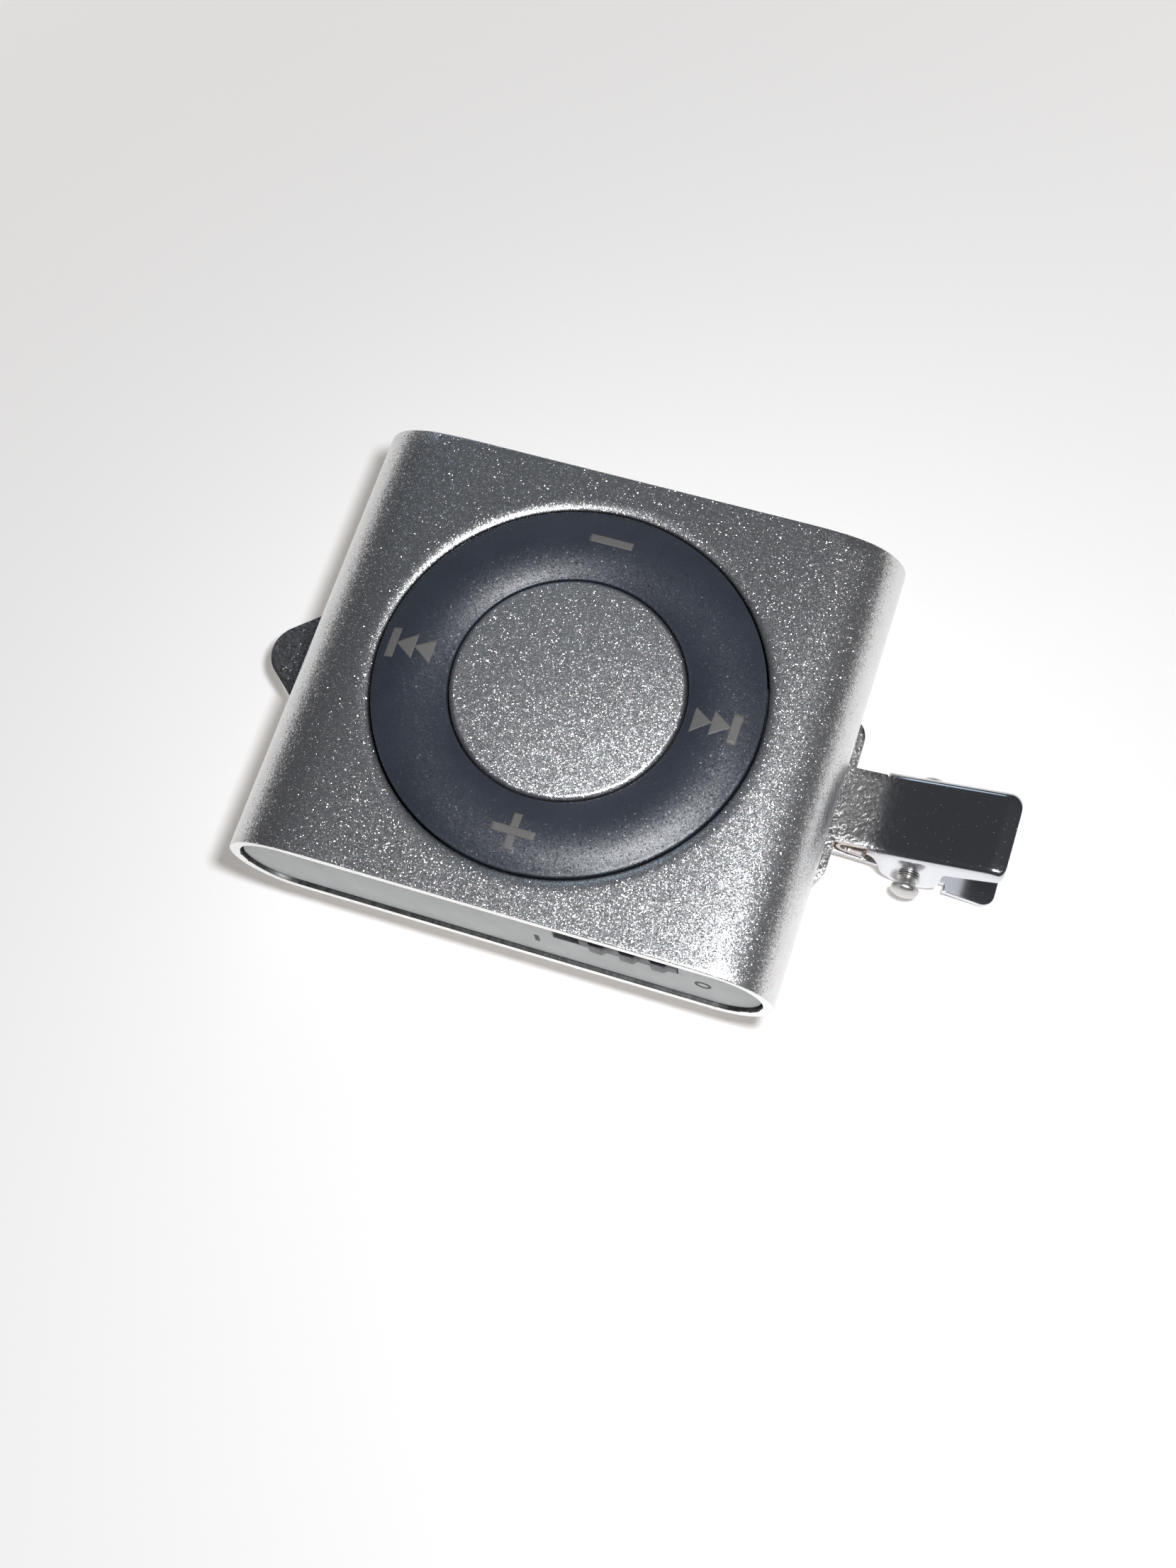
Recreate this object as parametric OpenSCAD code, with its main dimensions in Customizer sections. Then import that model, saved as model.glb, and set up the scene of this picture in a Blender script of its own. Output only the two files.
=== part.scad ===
// Clip-on digital audio player.
//
// Each module is drawn from the centre of the control face: X runs along the
// clip towards its finger levers, Y towards the socket end, Z up out of the
// face. from_face() then puts the finished piece in the part's own frame, whose
// origin is the bottom centre of the whole player as it lies on its clip.

/* [Body] */
// Width of the aluminium sleeve, across the switch end
body_w = 40; // [39.6:0.1:41]
// Length of the sleeve, from the switch end to the socket end
body_l = 34; // [34:0.1:35]
// Thickness of the sleeve
body_t = 8.7; // [8.7:0.05:8.9]
// Wall of the sleeve
wall_t = 0.8; // [0.7:0.05:0.8]
// How far the end caps sit inside the ends of the sleeve
cap_recess = 0.3; // [0.2:0.05:0.4]
// Thickness of an end cap
cap_t = 1.4; // [1.3:0.05:1.4]

/* [Controls] */
// Diameter of the control ring
ring_d = 27.9; // [27.6:0.1:28.2]
// Diameter of the centre button
button_d = 16.6; // [16.2:0.1:16.7]
// Rise of the ring's crown above its own edges
ring_crown = 0.65; // [0.4:0.05:0.8]
// Length of the sliding switch knob
knob_l = 7; // [6.4:0.1:7.1]
// Travel of the sliding switch
knob_travel = 1.85; // [1.6:0.05:1.9]

/* [Clip] */
// Sideways offset of the clip from the middle of the back
clip_y = 0.4; // [0:0.1:0.6]
// Width of the fixed plate
plate_w = 13.3; // [12:0.1:14]
// Radius of the nose's rounded tip
nose_r = 2.45; // [2.2:0.05:2.7]
// Angle between the clip's axis and each side of the nose
nose_slope = 41; // [38:1:44]
// Reach of the nose past the middle of the body
nose_reach = 24.5; // [24.3:0.1:25.2]
// Width of the finger levers
lever_w = 6.5; // [6.5:0.1:6.8]
// Reach of the upper finger lever past the middle of the body
lever_reach = 32.45; // [32.2:0.05:32.8]
// Sheet thickness of both halves of the clip
sheet_t = 0.5; // [0.45:0.05:0.5]
// Depth of the whole clip below the back of the body
clip_depth = 4.7; // [4.6:0.05:4.8]
// Diameter of the hinge pin
pin_d = 1.2; // [1:0.1:1.2]

/* [Sockets] */
// Bore of the headphone socket
jack_bore_d = 3.6; // [3.5:0.05:3.7]
// Depth of the headphone socket
jack_depth = 13.6; // [13:0.1:13.8]

/* [Hidden] */
$fn = 64;
eps = 0.02;
face_h = body_t + clip_depth;
mid_x = (lever_reach - nose_reach) / 2;
mid_z = -body_t / 2;
end_y = body_l / 2;

// Sleeve section and the cavity inside it
sleeve_r = body_t / 2;
side_x = body_w / 2 - sleeve_r;
cavity_r = sleeve_r - wall_t;
cavity_floor = -body_t + wall_t;
cap_gap = 0.17;
cap_face_y = end_y - cap_recess;
cap_back_y = cap_face_y - cap_t;

// Control face
ring_r = ring_d / 2;
hole_r = ring_r + 0.15;
bevel_w = 0.5;
bevel_h = 0.22;
ring_edge_z = -0.18;
ring_inner_r = button_d / 2 + 0.2;
ring_base_z = -1.55;
ring_tab_r = ring_r + 0.75;
ring_tab_w = 9;
ring_tab_t = 0.35;
pad_top_z = -1.85;
pad_bottom_z = -2.25;
pad_outer_r = ring_r - 0.35;
pad_inner_r = button_d / 2 + 1;
button_top_z = 0.25;
key_r = 11.2;

// Circuit board, and what stands on it
board_top_z = -3.5;
board_t = 0.8;
board_bottom_z = board_top_z - board_t;
board_half_w = 17.6;
board_half_l = cap_back_y - 0.15;
key_top_z = -2.72;
key_size = 2.6;
screw_places = [[-3, 14], [-8, -13.9]];
screw_r = 0.7;

// Chassis
chassis_gap = 0.12;
chassis_half_l = cap_back_y - 0.1;
rail_x = 15.3;
tray_floor_z = -7.35;

// Sockets
jack_x = -11.1;
jack_z = -5.15;
jack_w = 6.2;
jack_h = 5;
jack_nose_r = 2.1;
usb_x = 6.3;
usb_w = 7.7;
usb_h = 3.9;
usb_l = 9.2;
usb_z = -5.5;
usb_wall = 0.35;
led_x = -5.5;

// Sliding switch
slot_l = knob_l + knob_travel + 0.15;
slot_x = 8.7;
slot_z = -2.4;
slot_h = 1.8;
knob_x = slot_x + slot_l / 2 - 0.07 - knob_l / 2;
nub_pitch = 2.2;
nub_h = 0.24;
switch_x = 9.7;
switch_w = 6.6;
switch_h = 1.4;
switch_front_y = -board_half_l;
switch_depth = 2.5;
actuator_w = 1.3;

// Battery
battery_size = [27.4, 12.9, 2.6];
battery_y = -5.95;
battery_bottom_z = -7.25;

// Clip
back_z = -body_t;
plate_bottom_z = back_z - sheet_t;
plate_end_x = 20.3;
neck_w = 5.75;
neck_end_x = 22.6;
pin_x = 25.95;
pin_z = back_z - 2.3;
pin_r = pin_d / 2;
pin_head_r = 1.05;
pin_near_lift = 0.5;
pin_far_lift = 0.1;
lobe_r = 2.2;
cheek_t = 0.45;
rest_z = -face_h;
rivet_places = [-9, 9];
rivet_r = 0.8;
lever_corner_r = 0.9;
jaw_cheek_gap = 0.1;
jaw_cheek_t = 0.4;
spring_t = 0.33;
spring_fold_x = 21.2;
spring_fold_z = back_z - 1.55;
spring_fold_r = 0.85;
spring_end_x = 28.4;

// ---------------------------------------------------------------- helpers

module from_face() {
  translate([-mid_x, 0, face_h]) children();
}

// Flat-oval outline with half-round ends, in the X-Z plane of the body
module oval_2d(r) {
  square([2 * side_x, 2 * r], center = true);
  for (side = [-1, 1])
    translate([side * side_x, 0]) circle(r, $fn = 96);
}

// The same oval as a bar from y0 to y1
module oval_bar(r, y0, y1) {
  translate([0, y1, mid_z])
    rotate([90, 0, 0])
      linear_extrude(y1 - y0) oval_2d(r);
}

// A box given by its lowest and highest corners
module block(low, high) {
  translate(low) cube(high - low);
}

// Turns a drawing whose axes are X and Z into a plate from y0 to y1
module along_y(y0, y1) {
  translate([0, y1, 0])
    rotate([90, 0, 0])
      linear_extrude(y1 - y0) children();
}

// A cylinder lying along Y
module rod_y(r, x, z, y0, y1) {
  translate([x, y1, z]) rotate([90, 0, 0]) cylinder(r = r, h = y1 - y0);
}

// A vertical cylinder from z0 to z1
module post(r, x, y, z0, z1) {
  translate([x, y, z0]) cylinder(r = r, h = z1 - z0);
}

// Sheet that follows a line of [x, z] points, drawn below the line
function below(line, t) = [for (i = [len(line) - 1:-1:0]) line[i] - [0, t]];

module sheet_2d(line, t) {
  polygon(concat(line, below(line, t)));
}

// Rectangle with rounded corners, from low to high
module rounded_2d(low, high, r) {
  w = high[0] - low[0];
  l = high[1] - low[1];
  translate([low[0] + r, low[1]]) square([w - 2 * r, l]);
  translate([low[0], low[1] + r]) square([w, l - 2 * r]);
  for (x = [low[0] + r, high[0] - r])
    for (y = [low[1] + r, high[1] - r])
      translate([x, y]) circle(r);
}

// ---------------------------------------------------------------- casing

module housing_sleeve() {
  color("silver") difference() {
    oval_bar(sleeve_r, -end_y, end_y);
    oval_bar(cavity_r, -end_y - 1, end_y + 1);
    post(hole_r, 0, 0, -wall_t - 1, 1);
    translate([0, 0, -bevel_h])
      cylinder(r1 = hole_r, r2 = hole_r + bevel_w, h = bevel_h + eps, $fn = 96);
    for (x = rivet_places)
      post(rivet_r, x, clip_y, -body_t - 1, cavity_floor + 1);
  }
}

// Plate that closes one end, with two tongues that slide in along the chassis
module end_cap(side) {
  y0 = side > 0 ? cap_back_y : -cap_face_y;
  y1 = side > 0 ? cap_face_y : -cap_back_y;
  tongue_l = 3;
  oval_bar(cavity_r - cap_gap, y0, y1);
  for (x = [-15.1, 14.3])
    block(
      [x, side > 0 ? y0 - tongue_l : y1 - eps, -6.9],
      [x + 0.8, side > 0 ? y0 + eps : y1 + tongue_l, -5.5]
    );
}

module switch_end_cap() {
  pocket_x = slot_l / 2 + 0.6;
  pocket_z = slot_h / 2 + 0.3;
  color("darkgray") difference() {
    end_cap(-1);
    block(
      [slot_x - slot_l / 2, -cap_face_y - 1, slot_z - slot_h / 2],
      [slot_x + slot_l / 2, -cap_back_y + 1, slot_z + slot_h / 2]
    );
    block(
      [slot_x - pocket_x, -cap_face_y + 0.7, slot_z - pocket_z],
      [slot_x + pocket_x, -cap_back_y + 1, slot_z + pocket_z]
    );
  }
}

module port_end_cap() {
  color("darkgray") difference() {
    end_cap(1);
    rod_y(jack_nose_r + 0.1, jack_x, jack_z, cap_back_y - 1, cap_face_y + 1);
    block(
      [usb_x - usb_w / 2 - 0.1, cap_back_y - 1, usb_z - usb_h / 2 - 0.1],
      [usb_x + usb_w / 2 + 0.1, cap_face_y + 1, usb_z + usb_h / 2 + 0.1]
    );
    rod_y(0.5, led_x, jack_z, cap_back_y - 1, cap_face_y + 1);
  }
}

// Plastic frame that slides into the sleeve and holds the board and battery
module chassis() {
  boss_r = 1.3;
  color("dimgray") difference() {
    union() {
      difference() {
        oval_bar(cavity_r - chassis_gap, -chassis_half_l, chassis_half_l);
        block([-rail_x, -end_y, tray_floor_z], [rail_x, end_y, 0]);
      }
      for (p = screw_places)
        post(boss_r, p[0], p[1], tray_floor_z - 0.2, board_bottom_z);
    }
    block(
      [-board_half_w - 0.1, -end_y, board_bottom_z],
      [board_half_w + 0.1, end_y, board_top_z + 0.1]
    );
    for (p = screw_places)
      post(screw_r, p[0], p[1], board_bottom_z - 2.2, board_bottom_z + 1);
    for (x = rivet_places)
      post(rivet_r + 1.1, x, clip_y, -body_t, tray_floor_z + 1);
    block(
      [jack_x - jack_w / 2 - 0.1, 1.5, -body_t],
      [jack_x + jack_w / 2 + 0.1, end_y, tray_floor_z + 1]
    );
    block(
      [usb_x - usb_w / 2 - 0.1, cap_face_y - usb_l - 0.2, -body_t],
      [usb_x + usb_w / 2 + 0.1, end_y, tray_floor_z + 1]
    );
  }
}

// ---------------------------------------------------------------- electronics

module circuit_board() {
  color("darkgreen") difference() {
    block(
      [-board_half_w, -board_half_l, board_bottom_z],
      [board_half_w, board_half_l, board_top_z]
    );
    block(
      [jack_x - jack_w / 2 - 0.1, cap_face_y - jack_depth - 0.7, -body_t],
      [jack_x + jack_w / 2 + 0.1, end_y, 0]
    );
    block(
      [usb_x - usb_w / 2 - 0.1, cap_face_y - usb_l - 0.2, -body_t],
      [usb_x + usb_w / 2 + 0.1, end_y, 0]
    );
    for (p = screw_places)
      post(screw_r + 0.05, p[0], p[1], -body_t, 0);
  }
}

// Two small screws, each with a slotted head on top of the board
module board_screws() {
  head_h = 0.45;
  color("lightgray")
    for (p = screw_places)
      difference() {
        union() {
          post(screw_r - 0.05, p[0], p[1], board_bottom_z - 2, board_top_z + 0.2);
          post(1.15, p[0], p[1], board_top_z, board_top_z + head_h);
        }
        translate([p[0], p[1], board_top_z + head_h])
          cube([3, 0.25, 0.4], center = true);
      }
}

// Flat package with a row of leads on two sides
module chip(x, y, w, l, h, leads) {
  pitch = (l - 0.8) / (leads - 1);
  block([x - w / 2, y - l / 2, board_bottom_z - h], [x + w / 2, y + l / 2, board_bottom_z]);
  for (i = [0:leads - 1])
    for (side = [-1, 1])
      translate([x + side * (w / 2 + 0.2), y - l / 2 + 0.4 + i * pitch, board_bottom_z - 0.1])
        cube([0.6, pitch / 2, 0.2], center = true);
}

module main_chip() {
  color([0.12, 0.12, 0.13]) chip(-3, 9.3, 6, 5.4, 0.9, 10);
}

module memory_chip() {
  color([0.1, 0.1, 0.1]) chip(-3, 3.4, 6.4, 4, 0.8, 5);
}

module crystal() {
  color("silver")
    translate([0, 0, board_bottom_z - 0.7])
      linear_extrude(0.7) rounded_2d([11.4, 7.4], [14, 10.8], 0.5);
}

module board_capacitors() {
  color("tan")
    for (i = [0:3])
      for (side = [-1, 1])
        block(
          [side * 6.4 - 0.45, 3.2 + i * 1.1, board_top_z],
          [side * 6.4 + 0.45, 3.7 + i * 1.1, board_top_z + 0.45]
        );
}

module status_led() {
  color("deepskyblue")
    block([led_x - 0.8, board_half_l - 1.2, board_bottom_z - 0.6],
          [led_x + 0.8, board_half_l - 0.4, board_bottom_z]);
}

// One push switch under each sign on the ring and one under the centre button
module key_switches() {
  color("gainsboro")
    for (p = [[0, 0], [key_r, 0], [-key_r, 0], [0, key_r], [0, -key_r]]) {
      block(
        [p[0] - key_size / 2, p[1] - key_size / 2, board_top_z],
        [p[0] + key_size / 2, p[1] + key_size / 2, key_top_z - 0.13]
      );
      post(0.75, p[0], p[1], key_top_z - 0.2, key_top_z);
    }
}

module battery() {
  s = battery_size;
  r = 1.1;
  color("lightsteelblue") {
    translate([0, battery_y, battery_bottom_z])
      linear_extrude(s[2]) rounded_2d([-s[0] / 2, -s[1] / 2], [s[0] / 2, s[1] / 2], r);
    block([-4, battery_y + s[1] / 2 - eps, battery_bottom_z + 1],
          [4, battery_y + s[1] / 2 + 0.35, battery_bottom_z + 1.3]);
  }
}

module battery_tape() {
  color("khaki")
    block([-12, battery_y - 5.5, tray_floor_z], [12, battery_y + 5.5, battery_bottom_z]);
}

// Two short wires from the battery's tabs up to the board
module battery_leads() {
  y0 = battery_y + battery_size[1] / 2 + 0.35;
  z0 = battery_bottom_z + 1.15;
  lead_r = 0.25;
  bend_y = y0 + 0.35;
  color("firebrick")
    for (x = [2.2, 3.4]) {
      rod_y(lead_r, x, z0, y0, bend_y);
      translate([x, bend_y, z0]) sphere(lead_r, $fn = 32);
      post(lead_r, x, bend_y, z0, board_bottom_z);
    }
}

module audio_jack() {
  back_y = cap_face_y - jack_depth;
  color([0.13, 0.13, 0.14]) difference() {
    union() {
      block(
        [jack_x - jack_w / 2, back_y - 0.5, jack_z - jack_h / 2],
        [jack_x + jack_w / 2, cap_back_y - 0.05, jack_z + jack_h / 2]
      );
      rod_y(jack_nose_r, jack_x, jack_z, cap_back_y - 1, cap_face_y);
    }
    rod_y(jack_bore_d / 2, jack_x, jack_z, back_y, cap_face_y + 1);
  }
}

// Solder tails that join the socket to the board beside it
module jack_terminals() {
  color("silver")
    for (y = [4.5, 8.5, 12.5])
      block(
        [jack_x + jack_w / 2, y, board_bottom_z - 0.25],
        [jack_x + jack_w / 2 + 1.2, y + 1, board_bottom_z]
      );
}

module usb_shell() {
  color("lightgray") difference() {
    block(
      [usb_x - usb_w / 2, cap_face_y - usb_l, usb_z - usb_h / 2],
      [usb_x + usb_w / 2, cap_face_y, usb_z + usb_h / 2]
    );
    block(
      [usb_x - usb_w / 2 + usb_wall, cap_face_y - usb_l + 0.8, usb_z - usb_h / 2 + usb_wall],
      [usb_x + usb_w / 2 - usb_wall, cap_face_y + 1, usb_z + usb_h / 2 - usb_wall]
    );
  }
}

module usb_tongue() {
  inner_y = cap_face_y - usb_l + 0.8;
  color([0.1, 0.1, 0.1]) {
    block([usb_x - usb_w / 2 + usb_wall, inner_y, usb_z - usb_h / 2 + usb_wall],
          [usb_x + usb_w / 2 - usb_wall, inner_y + 1.2, usb_z + usb_h / 2 - usb_wall]);
    block([usb_x - 1.8, inner_y + 1, usb_z - 0.1],
          [usb_x + 1.8, cap_face_y - 1.6, usb_z + 0.8]);
  }
}

// ---------------------------------------------------------------- sliding switch

module slide_switch_shell() {
  low = [switch_x - switch_w / 2, switch_front_y, board_top_z];
  high = [switch_x + switch_w / 2, switch_front_y + switch_depth, board_top_z + switch_h];
  window_l = actuator_w + knob_travel + 0.3;
  color("silver") difference() {
    block(low, high);
    block(
      [knob_x + actuator_w / 2 + 0.15 - window_l, low[1] - 1, low[2] + 0.25],
      [knob_x + actuator_w / 2 + 0.15, low[1] + 1.4, high[2] - 0.25]
    );
  }
}

module switch_actuator() {
  color([0.1, 0.1, 0.1])
    block(
      [knob_x - actuator_w / 2, -cap_back_y - 0.1, board_top_z + 0.35],
      [knob_x + actuator_w / 2, switch_front_y + 1.3, board_top_z + switch_h - 0.35]
    );
}

// Ribbed knob, held behind the cap by a flange
module switch_knob() {
  face_y = -cap_face_y - 0.05;
  flange_y = -cap_face_y + 0.8;
  color("lightslategray") {
    block(
      [knob_x - knob_l / 2, face_y, slot_z - slot_h / 2 + 0.1],
      [knob_x + knob_l / 2, flange_y + 0.1, slot_z + slot_h / 2 - 0.1]
    );
    block(
      [knob_x - knob_l / 2 - 0.2, flange_y, slot_z - slot_h / 2 - 0.15],
      [knob_x + knob_l / 2 + 0.3, -cap_back_y - 0.1, slot_z + slot_h / 2 + 0.15]
    );
    for (i = [-1:1])
      translate([knob_x + i * nub_pitch, face_y, slot_z - slot_h / 2 + 0.1])
        linear_extrude(slot_h - 0.2) polygon([[-0.7, eps], [-0.42, -nub_h], [0.42, -nub_h], [0.7, eps]]);
  }
}

// ---------------------------------------------------------------- controls

// Soft annular pad: the ring rocks on its X ribs, and it rocks on its Y feet
module ring_pad() {
  foot_r = 0.4;
  foot_y = pad_outer_r - foot_r - 0.02;
  color("whitesmoke") {
    difference() {
      post(pad_outer_r, 0, 0, pad_bottom_z, pad_top_z);
      post(pad_inner_r, 0, 0, -body_t, 0);
    }
    for (side = [-1, 1]) {
      block([side * key_r - 1.6, -0.4, pad_top_z - 0.1], [side * key_r + 1.6, 0.4, ring_base_z - eps]);
      post(foot_r, 0, side * foot_y, board_top_z + 0.03, pad_bottom_z + 0.1);
      post(0.6, side * key_r, 0, pad_bottom_z - 0.2, pad_bottom_z + 0.1);
      post(0.6, 0, side * key_r, pad_bottom_z - 0.2, pad_bottom_z + 0.1);
    }
  }
}

// Crowned ring with four tabs that catch under the edge of the face's hole
module control_ring() {
  mid_r = (ring_r + ring_inner_r) / 2;
  half_w = (ring_r - ring_inner_r) / 2;
  crown_r = (half_w * half_w + ring_crown * ring_crown) / (2 * ring_crown);
  skirt_h = ring_edge_z - ring_base_z;
  color([0.12, 0.15, 0.2]) {
    rotate_extrude($fn = 128) {
      translate([ring_inner_r, ring_base_z]) square([2 * half_w, skirt_h]);
      intersection() {
        translate([mid_r, ring_edge_z + ring_crown - crown_r]) circle(crown_r, $fn = 128);
        translate([ring_inner_r, ring_edge_z - eps]) square([2 * half_w, 2 * ring_crown]);
      }
    }
    difference() {
      intersection() {
        post(ring_tab_r, 0, 0, ring_base_z, ring_base_z + ring_tab_t);
        union() {
          cube([4 * ring_r, ring_tab_w, 2 * body_t], center = true);
          cube([ring_tab_w, 4 * ring_r, 2 * body_t], center = true);
        }
      }
      post(ring_r - 1, 0, 0, -body_t, body_t);
    }
  }
}

// Disc with a rounded rim, a flange under the ring and a stem over its switch
module centre_button() {
  r = button_d / 2;
  rim_r = 0.45;
  color("silver") {
    rotate_extrude($fn = 128) {
      translate([0, pad_top_z - 0.1]) square([r, button_top_z - rim_r - pad_top_z + 0.1]);
      square([r - rim_r, button_top_z]);
      translate([r - rim_r, button_top_z - rim_r]) circle(rim_r, $fn = 64);
    }
    post(r + 0.6, 0, 0, pad_bottom_z, pad_top_z - 0.1);
    post(1.2, 0, 0, pad_bottom_z - 0.18, pad_bottom_z + 0.1);
  }
}

// ---------------------------------------------------------------- clip

// Rise of the upper lever, and the turned-down edge of its tip: its top
// surface as [x, z] points
upper_line = [
  [plate_end_x - 0.5, back_z],
  [plate_end_x + 0.2, back_z],
  [neck_end_x, back_z + 0.3],
  [31.5, back_z + 2.6],
  [lever_reach, back_z + 2.5]
];

// Point where the nose's slope leaves a round corner of radius r about [x, y]
function on_slope(x, y, r) = [x - r * sin(nose_slope), y + r * cos(nose_slope)];

// Outline of a clip plate: straight sides, round corners and a pointed, round-tipped nose
module plate_2d(w, front_x) {
  nose_x = -nose_reach + nose_r;
  corner = 1.6;
  corner_y = w / 2 - corner;
  nose_end = on_slope(nose_x, 0, nose_r);
  wide_x = nose_end[0] + (w / 2 - nose_end[1]) / tan(nose_slope);
  corner_x = wide_x + corner * tan(nose_slope / 2);
  wide_end = on_slope(corner_x, corner_y, corner);
  rounded_2d([corner_x - corner, -w / 2], [front_x, w / 2], corner);
  polygon([
    nose_end, wide_end, [corner_x, corner_y], [corner_x, -corner_y],
    [wide_end[0], -wide_end[1]], [nose_end[0], -nose_end[1]]
  ]);
  translate([nose_x, 0]) circle(nose_r);
}

// Outline of a lever seen from above, with a step out from the neck
module lever_2d(start_x, step_x, end_x, neck, width) {
  translate([start_x, -neck / 2]) square([step_x - start_x + 0.5, neck]);
  rounded_2d([step_x, -width / 2], [end_x, width / 2], lever_corner_r);
  translate([step_x, -width / 2]) square([2 * lever_corner_r, width]);
}

// Side wall of the fixed half: a lobe round the pin and a tapering lip
module cheek_2d() {
  polygon([
    [neck_end_x + 0.1, back_z], [31.5, back_z + 2.3], [lever_reach - 0.15, back_z + 2.25],
    [lever_reach - 0.1, back_z + 1.45], [31.6, back_z + 0.95], [pin_x + lobe_r, back_z - 0.45],
    [pin_x + lobe_r, pin_z], [pin_x - lobe_r, pin_z], [neck_end_x + 0.3, back_z - 1]
  ]);
  translate([pin_x, pin_z]) circle(lobe_r);
}

module clip_base() {
  color("lightgray") translate([0, clip_y, 0]) difference() {
    union() {
      translate([0, 0, plate_bottom_z]) linear_extrude(sheet_t) plate_2d(plate_w, plate_end_x);
      intersection() {
        along_y(-lever_w, lever_w) sheet_2d(upper_line, sheet_t);
        translate([0, 0, -2 * body_t])
          linear_extrude(2 * body_t)
            lever_2d(plate_end_x - 0.5, neck_end_x, lever_reach, neck_w, lever_w);
      }
      along_y(-lever_w / 2, -lever_w / 2 + cheek_t) cheek_2d();
      along_y(lever_w / 2 - cheek_t, lever_w / 2) cheek_2d();
    }
    rod_y(pin_r, pin_x, pin_z, -lever_w, lever_w);
    for (x = rivet_places)
      post(rivet_r, x, 0, -2 * body_t, 0);
  }
}

module clip_rivets() {
  head_r = 1.6;
  head_h = 0.42;
  dome_r = (head_r * head_r + head_h * head_h) / (2 * head_h);
  color("gainsboro")
    for (x = rivet_places)
      translate([x, clip_y, 0]) {
        post(rivet_r, 0, 0, plate_bottom_z - 0.1, cavity_floor + 0.1);
        post(head_r, 0, 0, cavity_floor, cavity_floor + head_h);
        intersection() {
          translate([0, 0, plate_bottom_z - head_h + dome_r]) sphere(dome_r, $fn = 96);
          post(head_r, 0, 0, plate_bottom_z - head_h, plate_bottom_z);
        }
      }
}

// Top surface of the moving jaw, from its nose to its finger lever: a bowed
// tongue whose flat bottom is what the player lies on
jaw_line = [
  [-nose_reach + 0.4, plate_bottom_z - 0.05],
  [-22.6, plate_bottom_z - 0.08],
  [-20.4, plate_bottom_z - 1.3],
  [-17.4, plate_bottom_z - 2.75],
  [-14.8, plate_bottom_z - 3.45],
  [-12, rest_z + sheet_t],
  [2, rest_z + sheet_t],
  [8, rest_z + sheet_t + 0.25],
  [14, rest_z + sheet_t + 0.8],
  [18.5, rest_z + sheet_t + 1.15],
  [21, rest_z + sheet_t + 1.15],
  [pin_x - 2, rest_z + sheet_t + 0.86],
  [pin_x + 2.4, rest_z + sheet_t + 0.86],
  [31.4, rest_z + sheet_t + 0.2],
  [lever_reach - 0.2, rest_z + sheet_t]
];

module jaw_2d() {
  inner_w = lever_w - 2 * (cheek_t + jaw_cheek_gap);
  intersection() {
    plate_2d(plate_w - 2.3, 19.2);
    translate([-nose_reach + 0.4, -plate_w]) square([60, 2 * plate_w]);
  }
  lever_2d(18.5, pin_x + 2.6, lever_reach - 0.2, inner_w, lever_w + 0.1);
}

module clip_jaw() {
  cheek_y = lever_w / 2 - cheek_t - jaw_cheek_gap;
  cheek_r = 1.5;
  color("silver") translate([0, clip_y, 0]) difference() {
    union() {
      intersection() {
        along_y(-plate_w, plate_w) sheet_2d(jaw_line, sheet_t);
        translate([0, 0, -3 * body_t]) linear_extrude(3 * body_t) jaw_2d();
      }
      for (side = [-1, 1])
        along_y(
          side > 0 ? cheek_y - jaw_cheek_t : -cheek_y,
          side > 0 ? cheek_y : -cheek_y + jaw_cheek_t
        ) {
          translate([pin_x, pin_z]) circle(cheek_r);
          translate([pin_x - cheek_r, rest_z + sheet_t + 0.75]) square([2 * cheek_r, 1.5]);
        }
    }
    rod_y(pin_r + 0.05, pin_x, pin_z, -lever_w, lever_w);
  }
}

// Hinge pin with a domed head outside each cheek
module clip_pin() {
  head_y = lever_w / 2 + 0.1;
  color("gainsboro") translate([pin_x, clip_y, pin_z]) {
    rod_y(pin_r, 0, 0, -head_y - 0.2, head_y + 0.2);
    for (side = [-1, 1])
      intersection() {
        translate([0, side * (head_y + (side > 0 ? pin_far_lift : pin_near_lift)), 0])
          sphere(pin_head_r, $fn = 96);
        rod_y(
          2 * pin_head_r, 0, 0,
          side > 0 ? head_y : -head_y - 2 * pin_head_r,
          side > 0 ? head_y + 2 * pin_head_r : -head_y
        );
      }
  }
}

// Leaf spring: a U whose closed end faces the body, with the pin between its legs
module spring_2d() {
  top_z = spring_fold_z + spring_fold_r;
  low_z = spring_fold_z - spring_fold_r;
  difference() {
    translate([spring_fold_x, spring_fold_z]) circle(spring_fold_r);
    translate([spring_fold_x, spring_fold_z]) circle(spring_fold_r - spring_t);
    translate([spring_fold_x, spring_fold_z - 2]) square([4, 4]);
  }
  sheet_2d([[spring_fold_x - eps, top_z], [neck_end_x, top_z + 0.3], [spring_end_x, top_z + 1.78]], spring_t);
  sheet_2d(
    [
      [spring_fold_x - eps, low_z + spring_t], [pin_x - 1.6, pin_z - pin_r - 0.04],
      [spring_end_x - 0.6, pin_z - pin_r - 0.04]
    ],
    spring_t
  );
}

module clip_spring() {
  fold_half_w = 2.75;
  leg_half_w = lever_w / 2 - cheek_t - jaw_cheek_gap - jaw_cheek_t - 0.1;
  fold_end_x = neck_end_x - 0.1;
  color([0.75, 0.62, 0.58]) translate([0, clip_y, 0]) {
    intersection() {
      along_y(-leg_half_w, leg_half_w) spring_2d();
      block([0, -lever_w, -3 * body_t], [2 * body_w, lever_w, 0]);
    }
    intersection() {
      along_y(-fold_half_w, fold_half_w) spring_2d();
      block([0, -lever_w, -3 * body_t], [fold_end_x, lever_w, 0]);
    }
  }
}

// ---------------------------------------------------------------- assembly

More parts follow.
